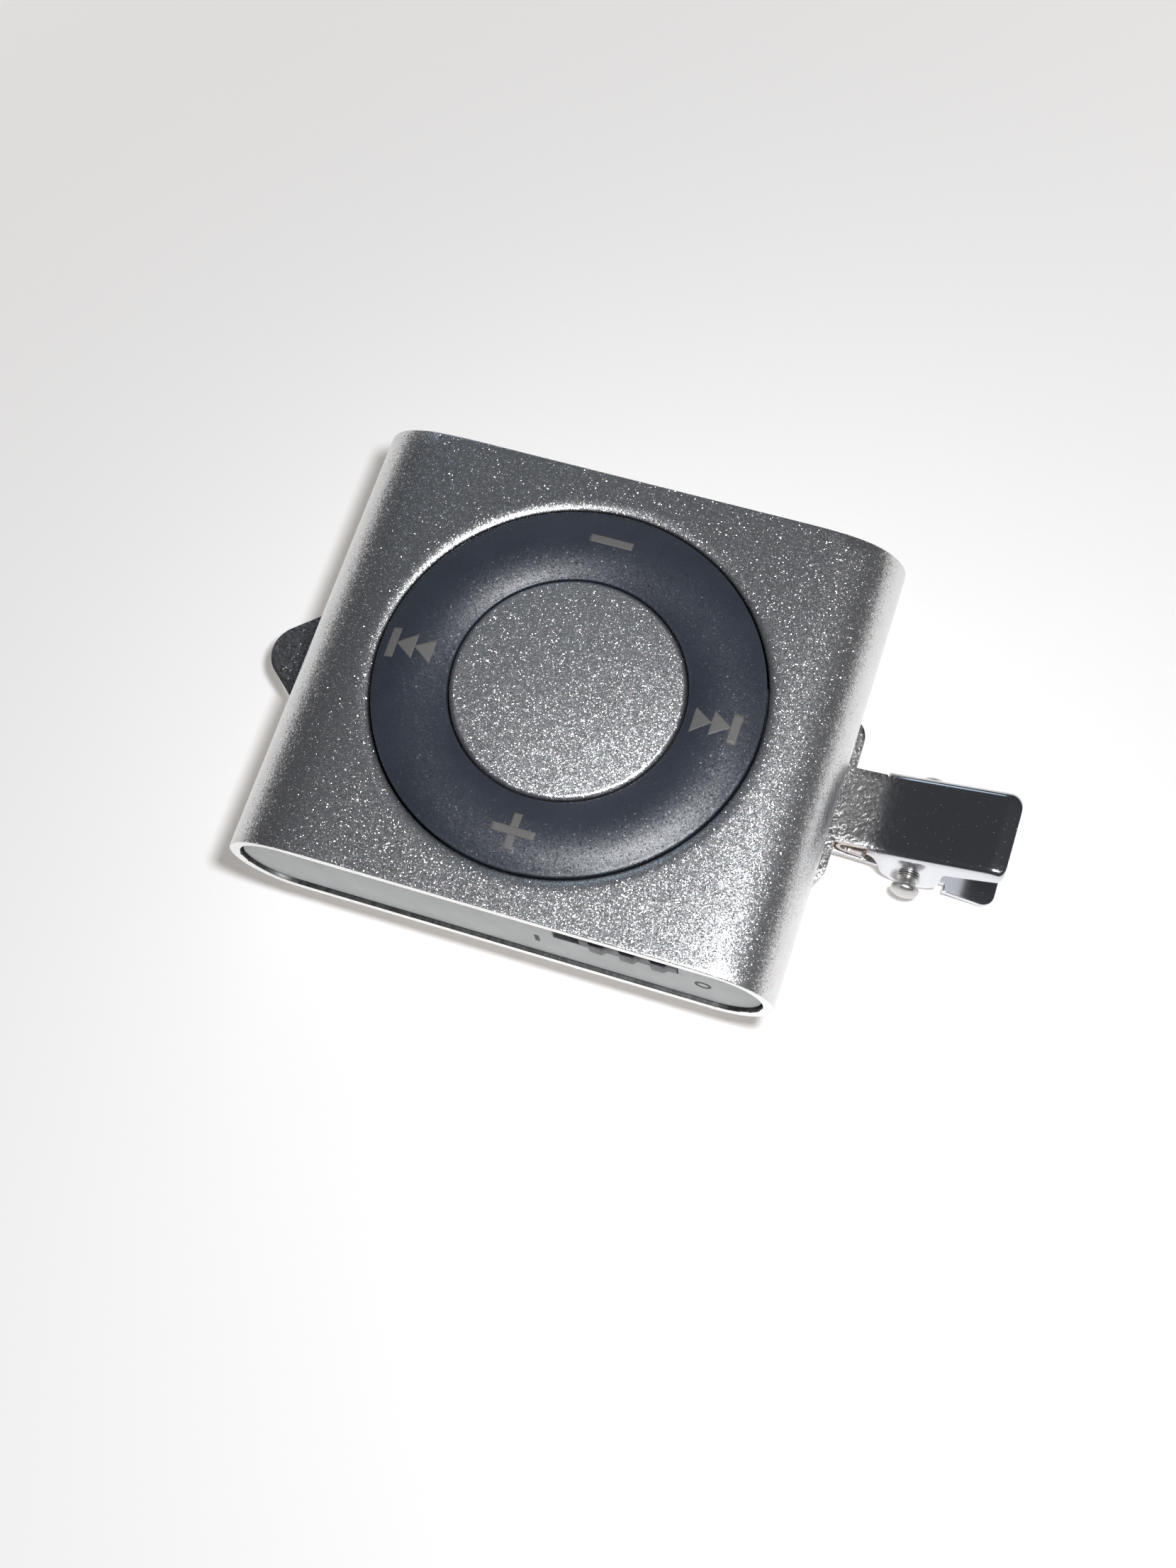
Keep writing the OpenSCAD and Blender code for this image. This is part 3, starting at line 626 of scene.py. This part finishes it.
def ring():
    """Crowned ring with rolled edges, and four tabs that catch under the face."""
    shape = Shape()
    low, roll = RING[0].z, 0.14
    top = [(r, crown_z(r)) for r in steps(RING_R - roll, RING_INNER_R + roll, 26)]
    outer = [(RING_R - roll + roll * math.sin(t), crown_z(RING_R - roll) - roll * (1 - math.cos(t)))
             for t in steps(math.pi / 2, 0.45, 5)]
    inner = [(RING_INNER_R + roll - roll * math.sin(t),
              crown_z(RING_INNER_R + roll) - roll * (1 - math.cos(t)))
             for t in steps(0.45, math.pi / 2, 5)]
    shape.lathe([(RING_R, low)] + outer + top + inner + [(RING_INNER_R, low), (RING_R, low)], 256)
    tab_half, tab_t, tab_root = 4.5, 0.35, RING_R - 0.6
    for k in range(4):
        turn = Matrix.Rotation(k * math.pi / 2, 3, "Z")
        reach = RING[1].x if k % 2 == 0 else RING[1].y
        spread = math.asin(tab_half / reach)
        for z in (low, low + tab_t):
            shape.grid([
                [turn @ Vector((r * math.cos(a), r * math.sin(a), z)) for a in steps(-spread, spread, 16)]
                for r in (tab_root, reach)
            ])
        shape.grid([
            [turn @ Vector((reach * math.cos(a), reach * math.sin(a), z)) for a in steps(-spread, spread, 16)]
            for z in (low, low + tab_t)
        ])
        for a in (-spread, spread):
            shape.grid([
                [turn @ Vector((r * math.cos(a), r * math.sin(a), z)) for r in (tab_root, reach)]
                for z in (low, low + tab_t)
            ])
    shape.piece("ring_cover", "ring", "ring_plastic", [RING_SATIN], ["control_ring"])


def sign(name, centre, strips, turned=False):
    """A printed sign on the crown. Each strip runs from u0 to u1 with half heights h0 and h1."""
    shape = Shape()
    for u0, u1, h0, h1, across in strips:
        rows = []
        for t in steps(0, 1, 12):
            u, h = u0 + (u1 - u0) * t, h0 + (h1 - h0) * t
            row = []
            for v in steps(-1, 1, 8):
                x, y = (h * v + across, u) if turned else (u, h * v + across)
                x, y = x + centre[0], y + centre[1]
                row.append(Vector((x, y, crown_z(math.hypot(x, y)) + SIGN_LIFT)))
            rows.append(row)
        shape.grid(rows)
    thicken(shape.piece(name, "ring", "ring_plastic", [SIGN_PAINT]), 2.5 * SIGN_LIFT)


def signs():
    """Minus, plus, and the two skip signs with their bars outermost."""
    bar = 0.3
    long = 1.6
    sign("sign_minus", (-0.42, KEY_R + 0.3), [(-long, long, bar, bar, 0)])
    arm = long - bar - 0.25
    plus = Vector((-0.15, -KEY_R - 0.1))
    sign("sign_plus", plus, [(-long, long, bar, bar, 0)])
    for side, label in ((-1, "lower"), (1, "upper")):
        middle = plus + Vector((0, side * (bar + arm / 2)))
        sign("sign_plus_" + label, middle, [(-arm / 2, arm / 2, bar, bar, 0)], turned=True)
    tall, wedge, point, stroke = 1.0, 1.38, 0.04, 0.65
    for side, start, y, label in ((-1, 9.9, -0.15, "back"), (1, 9.1, 0.12, "forward")):
        strips = [
            (0, side * wedge, tall, point, 0),
            (side * wedge, side * 2 * wedge, tall, point, 0),
            (side * 2 * wedge, side * (2 * wedge + stroke), 1.17 * tall, 1.17 * tall, 0),
        ]
        sign("sign_" + label, (side * start, y), strips)


def button():
    """Disc with a rounded rim, its flange under the ring and its stem."""
    shape = Shape()
    rim, dome, top, low = 0.36, 0.2, BUTTON[1].z, BUTTON[0].z
    flange_low, flange_high = low + 0.18, -1.95
    profile = [((BUTTON_R - rim) * share, top - dome * share * share) for share in steps(0, 1, 12)]
    profile += [(BUTTON_R - rim + rim * math.sin(t), top - dome - rim * (1 - math.cos(t)))
                for t in steps(0, math.pi / 2, 10)[1:]]
    profile += [(BUTTON_R, flange_high), (BUTTON[1].x, flange_high), (BUTTON[1].x, flange_low),
                (1.2, flange_low), (1.2, low), (0, low)]
    shape.lathe(profile, 256)
    shape.piece("button_disc", "button", "button_metal", [BUTTON_ALUMINIUM], ["centre_button"])


# ---------------------------------------------------------------- end cap marks

def power_marks():
    """Generic on and off marks beside the switch: a bar and a circle."""
    lift, y = 0.03, NEAR_CAP[0].y
    z, tall, stroke = -4.6, 0.6, 0.2
    left, right = 2.75, 2.75 + 1.6 * stroke
    bar = Shape()
    bar.prism([(left, y, z - tall), (right, y, z - tall), (right, y, z + tall), (left, y, z + tall)],
              (0, -lift, 0))
    bar.piece("mark_on", "player", "cap_plastic", [MARK_PLASTIC])
    circle = Shape()
    circle.lathe([(tall, 0), (tall - stroke, 0), (tall - stroke, -lift), (tall, -lift), (tall, 0)],
                 48, centre=(14.9, y, z + 0.3), along_y=True)
    circle.piece("mark_off", "player", "cap_plastic", [MARK_PLASTIC])


# ---------------------------------------------------------------- clip

BASE_TOP = rounded([(BASE[0].x, BACK_Z), (20.5, BACK_Z), (22.6, BACK_Z + 0.3), (27, BACK_Z + 1.44)], 0.7)
BASE_TOP += rounded([(27.1, BACK_Z + 1.463), (31.5, BACK_Z + 2.6), (BASE[1].x, BACK_Z + 2.5)], 0.28)
REST_Z = JAW[0].z
PLATE_LOW = BACK_Z - SHEET_T
JAW_TOP = rounded([
    (JAW[0].x, PLATE_LOW - 0.05), (-22.6, PLATE_LOW - 0.08), (-20.4, PLATE_LOW - 1.3),
    (-17.4, PLATE_LOW - 2.75), (-14.8, PLATE_LOW - 3.45), (-12, REST_Z + SHEET_T),
    (2, REST_Z + SHEET_T), (8, REST_Z + SHEET_T + 0.25), (14, REST_Z + SHEET_T + 0.8),
    (18.5, REST_Z + SHEET_T + 1.15), (21, REST_Z + SHEET_T + 1.15),
    (PIN_X - 2, REST_Z + SHEET_T + 0.86), (PIN_X + 2.4, REST_Z + SHEET_T + 0.86),
    (31.4, REST_Z + SHEET_T + 0.2), (JAW[1].x, REST_Z + SHEET_T),
], 0.8)
NOSE_R = 2.45
NOSE_X = BASE[0].x + NOSE_R
NOSE_SLOPE = math.radians(41)
NOSE_END = (NOSE_X - NOSE_R * math.sin(NOSE_SLOPE), NOSE_R * math.cos(NOSE_SLOPE))
CORNER_R = 1.6


def round_half(x, centre_x, middle, radius):
    """Half width at x of a round corner centred on (centre_x, middle)."""
    return middle + math.sqrt(max(radius ** 2 - (x - centre_x) ** 2, 0))


def shoulder_x(wide):
    """Where the round corner between the nose's slope and a straight side has its centre."""
    corner = NOSE_END[0] + (wide - NOSE_END[1]) / math.tan(NOSE_SLOPE)
    return corner + CORNER_R * math.tan(NOSE_SLOPE / 2)


def plate_half(x, wide, end_x):
    """Half width of a clip plate at x: round nose, slope, straight sides, round corners."""
    if x < NOSE_END[0]:
        return round_half(x, NOSE_X, 0, NOSE_R)
    front = shoulder_x(wide)
    if x < front - CORNER_R * math.sin(NOSE_SLOPE):
        return NOSE_END[1] + (x - NOSE_END[0]) * math.tan(NOSE_SLOPE)
    if x < front:
        return round_half(x, front, wide - CORNER_R, CORNER_R)
    if x < end_x - CORNER_R:
        return wide
    return round_half(x, end_x - CORNER_R, wide - CORNER_R, CORNER_R)


def tip_inset(x, end_x, radius):
    """How far a rounded corner pulls the side in at x, near the end of a lever."""
    turn = x - (end_x - radius)
    return radius - math.sqrt(max(radius ** 2 - turn ** 2, 0)) if turn > 0 else 0.0


def strip(shape, stations, line, inner, outer, n=6):
    """A strip of sheet between two half widths, on a line of (x, z) points."""
    shape.grid([
        [Vector((x, CLIP_Y + y, height_on(line, x))) for y in steps(inner(x), outer(x), n)]
        for x in stations
    ])


def plate(shape, line, start_x, end_x, neck, wide):
    """The plate of a clip half: a middle as wide as its neck, with a side on each hand."""
    join_x = NOSE_END[0] + (neck - NOSE_END[1]) / math.tan(NOSE_SLOPE)
    nose = [NOSE_X - NOSE_R * math.cos(t) for t in steps(0.15, math.pi / 2 - NOSE_SLOPE, 14)]
    nose += steps(NOSE_END[0], join_x, 6)[1:-1]
    back = steps(join_x, -15, 24) + steps(-15, end_x - CORNER_R, 60)[1:]
    back += [end_x - CORNER_R + CORNER_R * math.sin(t) for t in steps(0, math.pi / 2, 8)[1:]]
    front = [start_x] + [x for x in nose if x > start_x + 0.02]

    def middle(x):
        return min(neck, plate_half(x, wide, end_x))

    strip(shape, front + back, line, lambda x: -middle(x), middle, 10)
    for side in (-1, 1):
        strip(shape, back, line, lambda x: side * neck,
              lambda x: side * max(neck, plate_half(x, wide, end_x)), 5)


def cheek_low(x, top):
    """Lower edge of the folded side wall: a lobe round the pin, then a tapering lip."""
    start_h, lip_x, lip_z, lip_slope, lip_h = 0.62, PIN_X + 2.45, BACK_Z - 0.28, 0.42, 0.85
    if x < PIN_X - LOBE_R:
        t = (x - LEVER_START) / (PIN_X - LOBE_R - LEVER_START)
        return top - start_h + (PIN_Z - top + start_h) * t * t
    if x <= PIN_X + LOBE_R:
        return PIN_Z - math.sqrt(max(LOBE_R ** 2 - (x - PIN_X) ** 2, 0))
    if x < lip_x:
        t = (x - PIN_X - LOBE_R) / (lip_x - PIN_X - LOBE_R)
        return PIN_Z + (lip_z - PIN_Z) * (1 - (1 - t) ** 2)
    return min(lip_z + (x - lip_x) * lip_slope, top - lip_h)


def clip_base():
    """Fixed half of the clip: plate under the body, neck, lever and folded side walls."""
    shape = Shape()
    plate_end, end_x = 20.3, BASE[1].x
    tip_w, lip_end, far_corner, near_corner = 1.1, 31.2, 0.9, 0.45
    flat = LEVER_HALF - FOLD_R
    wide = (BASE[1].y - BASE[0].y) / 2
    plate(shape, BASE_TOP, BASE[0].x + 0.01, plate_end, NECK_HALF, wide)

    def joint_half(x):
        return NECK_HALF if x < LEVER_START else flat

    neck_xs = steps(plate_end, NECK_END, 10)
    strip(shape, neck_xs + [LEVER_START], BASE_TOP, lambda x: -joint_half(x), joint_half, 10)
    lobe = [PIN_X + LOBE_R * math.sin(t) for t in steps(-math.pi / 2, math.pi / 2, 18)]
    before = steps(LEVER_START, lobe[0], 6)[:-1]
    after = [lobe[-1] + d for d in (0.05, 0.1, 0.16, 0.25)]
    lip = steps(after[-1], lip_end, 12)[1:]
    tip = [end_x - tip_w + tip_w * math.sin(t) for t in steps(0, math.pi / 2, 16)[1:]]
    stations = before + lobe + after + lip + tip

    def half(x, side):
        return flat - tip_inset(x, end_x, far_corner if side > 0 else near_corner)

    strip(shape, stations, BASE_TOP, lambda x: -half(x, -1), lambda x: half(x, 1), 10)
    for side in (-1, 1):
        rows = []
        for x in stations:
            top, y = height_on(BASE_TOP, x), half(x, side)
            low = cheek_low(x, top)
            row = [Vector((x, CLIP_Y + side * (y + FOLD_R * math.sin(t)), top - FOLD_R * (1 - math.cos(t))))
                   for t in steps(0, math.pi / 2, 6)]
            row += [Vector((x, CLIP_Y + side * (y + FOLD_R), z))
                    for z in steps(top - FOLD_R, low, 8)[1:]]
            rows.append(row)
        shape.grid(rows)
    return shape.piece("clip_plate", "player", "clip_steel", [STEEL], ["clip_base"], sharp=50)


def clip_jaw():
    """Moving half: a bowed tongue and a lever below the upper one."""
    shape = Shape()
    plate_end, step_x, end_x = 19.2, PIN_X + 2.6, JAW[1].x
    neck, wide, lever, corner = 2.7, (JAW[1].y - JAW[0].y) / 2, 3.3, 0.9
    plate(shape, JAW_TOP, JAW[0].x, plate_end, neck, wide)
    strip(shape, steps(plate_end, step_x, 30), JAW_TOP, lambda x: -neck, lambda x: neck, 10)
    lever_xs = steps(step_x, end_x - corner, 10)
    lever_xs += [end_x - corner + corner * math.sin(t) for t in steps(0, math.pi / 2, 8)[1:]]

    def rounded_half(x, half):
        return half - tip_inset(x, end_x, corner)

    strip(shape, lever_xs, JAW_TOP, lambda x: -rounded_half(x, neck), lambda x: rounded_half(x, neck), 10)
    for side in (-1, 1):
        strip(shape, lever_xs, JAW_TOP, lambda x: side * rounded_half(x, neck),
              lambda x: side * rounded_half(x, lever), 3)
    return shape.piece("clip_tongue", "jaw", "clip_steel", [STEEL], ["clip_jaw"], sharp=50)


def jaw_ears():
    """The jaw's two upright ears that turn on the pin between the side walls."""
    shape = Shape()
    ear_r, ear_t, outer = 1.5, 0.4, LEVER_HALF - FOLD_R
    foot_z = REST_Z + SHEET_T + 0.8
    outline = [(PIN_X + ear_r * math.cos(t), PIN_Z + ear_r * math.sin(t)) for t in steps(0, math.pi, 28)]
    outline += [(PIN_X - ear_r, foot_z), (PIN_X + ear_r, foot_z)]
    for side in (-1, 1):
        y = CLIP_Y + side * outer
        shape.prism([(x, y, z) for x, z in outline], (0, -side * ear_t, 0))
    return shape.piece("clip_ears", "jaw", "clip_steel", [STEEL])


def hinge_pin():
    """Rivet pin with a ball head and two collars outside each side wall."""
    shape = Shape()
    head_r = PIN[1].z - PIN_Z
    cheek = LEVER_HALF + 0.02
    ball_half, collar = 0.56, 0.78

    def end(sign_y, tip_y):
        wall_y = CLIP_Y + sign_y * cheek
        middle = tip_y - sign_y * ball_half
        rows = [(PIN_R, wall_y - sign_y * 0.3), (PIN_R, wall_y)]
        for i in range(2):
            y = wall_y + sign_y * 0.17 * i
            rows += [(PIN_R, y), (collar, y + sign_y * 0.03), (collar, y + sign_y * 0.09),
                     (PIN_R, y + sign_y * 0.12)]
        rows += [(head_r * math.cos(t), middle + sign_y * ball_half * math.sin(t))
                 for t in steps(-0.85, math.pi / 2, 20)]
        return rows

    profile = list(reversed(end(-1, PIN[0].y))) + end(1, PIN[1].y)
    shape.lathe(profile, 48, centre=(PIN_X, 0, PIN_Z), along_y=True)
    shape.piece("hinge_pin", "player", "pin_steel", [PIN_STEEL], ["clip_pin"], sharp=60)


def leaf_spring():
    """U-shaped strip: the upper leg and the fold stay put on the player, and the lower leg is a piece of its
    own, on no body.
    """
    fold_r, strip_t, upper_rise = 0.85, 0.33, 1.78
    fold_half, leg_half, narrow_x = (SPRING[1].y - SPRING[0].y) / 2, 2.2, 22.75
    fold_x, mid_r = SPRING[0].x + fold_r, fold_r - strip_t / 2
    high_z = SPRING[1].z - strip_t / 2
    fold_z = high_z - upper_rise - mid_r
    under_pin = PIN_Z - PIN_R - 0.04 - strip_t / 2
    upper = rounded([(fold_x, fold_z + mid_r), (NECK_END, fold_z + mid_r + 0.3),
                     (SPRING[1].x, high_z)], 0.5)
    lower_end = SPRING[1].x - 0.6
    lower = rounded([(fold_x, fold_z - mid_r), (PIN_X - 1.6, under_pin), (lower_end, under_pin)], 0.6)

    def row(x, z):
        share = min(max((narrow_x - x) / 0.3, 0), 1)
        half = leg_half + (fold_half - leg_half) * share
        return [Vector((x, CLIP_Y + y, z)) for y in steps(-half, half, 6)]

    near = steps(fold_x, narrow_x, 8)
    top, low = Shape(), Shape()
    top_xs = near + steps(narrow_x, SPRING[1].x, 8)[1:]
    fold = [(fold_x - mid_r * math.sin(t), fold_z + mid_r * math.cos(t)) for t in steps(0, math.pi, 16)[1:]]
    top.grid([row(x, height_on(upper, x)) for x in reversed(top_xs)] + [row(x, z) for x, z in fold])
    low.grid([row(x, height_on(lower, x)) for x in near + steps(narrow_x, lower_end, 24)[1:]])
    fixed = top.piece("spring_upper", "player", "spring_steel", [SPRING_BRONZE], ["clip_spring"])
    bent = low.piece("spring_lower", None, "spring_steel", [SPRING_BRONZE])
    for leg in (fixed, bent):
        thicken(leg, strip_t, side=0)
        soften(leg, 0.06, segments=2)
    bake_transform(bent)


# ---------------------------------------------------------------- CAD nodes that stay

def dress_nodes():
    """Gives each CAD node that still shows its material, and softened edges to those listed in EDGE_WIDTHS.
    """
    for name, material in NODE_LOOKS.items():
        node = NODES[name]
        node.data.materials.clear()
        node.data.materials.append(material)
        if name in EDGE_WIDTHS:
            weld = node.modifiers.new("weld", "WELD")
            weld.merge_threshold = 1e-6
            soften(node, EDGE_WIDTHS[name], segments=2)


# ---------------------------------------------------------------- stage, light and camera

# The floor's glow is painted light that fills in where the key fades; its warm tint near the object is
# painted warm shade in the shadows there.
FLOOR_GLOW, FLOOR_GLOW_FAR = 0.28, 0.78
SHADOW_TINT, FAR_TINT = (1.0, 0.935, 0.86, 1), (1.0, 0.995, 0.985, 1)
GLOW_START, GLOW_END = 40, 200
KEY_AT = FACE + Vector((42, -31, 137)) * MM
SKY_AT = FACE + Vector((-190, 320, 250)) * MM
HORIZON, OVERHEAD = (0.72, 0.72, 0.71, 1), (0.046, 0.047, 0.052, 1)
BACKDROP = (0.80, 0.80, 0.79, 1)
EYE = FACE + Vector((29.9, -53.2, 135.5)) * MM
LOOK_AT = FACE + Vector((1.05, -1.83, -13.4)) * MM
ROLL = math.radians(-12.02)
LENS = 48.74


def studio():
    """Plain pale floor that glows a little, more so away from the object, where the key fades."""
    radius, ring_count, around = 2.0, 24, 48
    mesh = bpy.data.meshes.new("floor")
    rings = [radius * (i / ring_count) ** 2 for i in range(1, ring_count + 1)]
    points, faces = [Vector((0, 0, 0))], []
    for r in rings:
        points += [Vector((r * math.cos(a), r * math.sin(a), 0)) for a in steps(0, 2 * math.pi, around)[:-1]]
    for j in range(around):
        faces.append((0, 1 + j, 1 + (j + 1) % around))
    for i in range(len(rings) - 1):
        for j in range(around):
            a, b = 1 + i * around + j, 1 + i * around + (j + 1) % around
            faces.append((a, a + around, b + around, b))
    mesh.from_pydata(points, [], faces)
    floor = bpy.data.objects.new("floor", mesh)
    bpy.context.scene.collection.objects.link(floor)
    look = Look("pale_floor", Specular_IOR_Level=0.3, Roughness=0.55)
    cloud = look.noise(60, detail=2)
    look.set(Base_Color=look.mix(cloud, grey(0.86, -0.003), grey(0.89)))
    distance = look.node("VectorMath", {0: look.place()}, operation="LENGTH").outputs["Value"]
    glow = look.ramp(distance, GLOW_START, GLOW_END, FLOOR_GLOW, FLOOR_GLOW_FAR)
    colour = look.mix(look.ramp(distance, GLOW_START, GLOW_END), SHADOW_TINT, FAR_TINT)
    look.set(Emission_Color=colour, Emission_Strength=glow)
    mesh.materials.append(look.material)


def area_light(name, place, target, size, power, colour):
    """A round lamp, size across in metres, that faces a target."""
    data = bpy.data.lights.new(name, "AREA")
    data.shape = "DISK"
    data.size = size
    data.energy = power
    data.color = colour
    light = bpy.data.objects.new(name, data)
    bpy.context.scene.collection.objects.link(light)
    light.location = place
    light.rotation_mode = "QUATERNION"
    light.rotation_quaternion = (target - place).to_track_quat("-Z", "Y")


def lights():
    """A small key beside the camera, and a faint blue light from behind."""
    area_light("key", KEY_AT, FACE, 0.017, 0.205, (0.955, 0.97, 1.0))
    area_light("sky", SKY_AT, FACE, 0.12, 0.045, (0.66, 0.83, 1.0))


def room():
    """World that is dark overhead and pale near the horizon, and a plain backdrop to the camera."""
    world = bpy.data.worlds.new("room")
    bpy.context.scene.world = world
    world.use_nodes = True
    nodes = Nodes(world.node_tree)
    way = nodes.node("TexCoord").outputs["Generated"]
    height = nodes.node("SeparateXYZ", {0: way}).outputs["Z"]
    around = world.node_tree.nodes["Background"]
    nodes.fill(around.inputs["Color"], nodes.mix(nodes.ramp(height, 0.05, 0.25), HORIZON, OVERHEAD))
    backdrop = nodes.node("Background", {"Color": BACKDROP})
    seen = nodes.node("LightPath").outputs["Is Camera Ray"]
    both = nodes.node("MixShader", {0: seen, 1: around.outputs[0], 2: backdrop.outputs[0]})
    nodes.fill(world.node_tree.nodes["World Output"].inputs["Surface"], both.outputs[0])


def camera():
    """The photo's viewpoint."""
    data = bpy.data.cameras.new("camera")
    data.lens = LENS
    data.sensor_width = 36
    data.clip_start, data.clip_end = 0.005, 20
    made = bpy.data.objects.new("camera", data)
    bpy.context.scene.collection.objects.link(made)
    made.location = EYE
    made.rotation_mode = "QUATERNION"
    made.rotation_quaternion = (LOOK_AT - EYE).to_track_quat("-Z", "Y") @ Quaternion((0, 0, 1), ROLL)
    bpy.context.scene.camera = made


# ---------------------------------------------------------------- build

sleeve()
ring()
signs()
button()
power_marks()
for half in (clip_base(), clip_jaw()):
    thicken(half, SHEET_T, side=-1)
    soften(half, 0.07, segments=2, angle=50)
soften(jaw_ears(), 0.05, segments=2)
hinge_pin()
leaf_spring()
dress_nodes()
studio()
lights()
room()
camera()

view = bpy.context.scene.view_settings
view.view_transform = "Standard"
view.look = "None"
view.exposure = 0.0
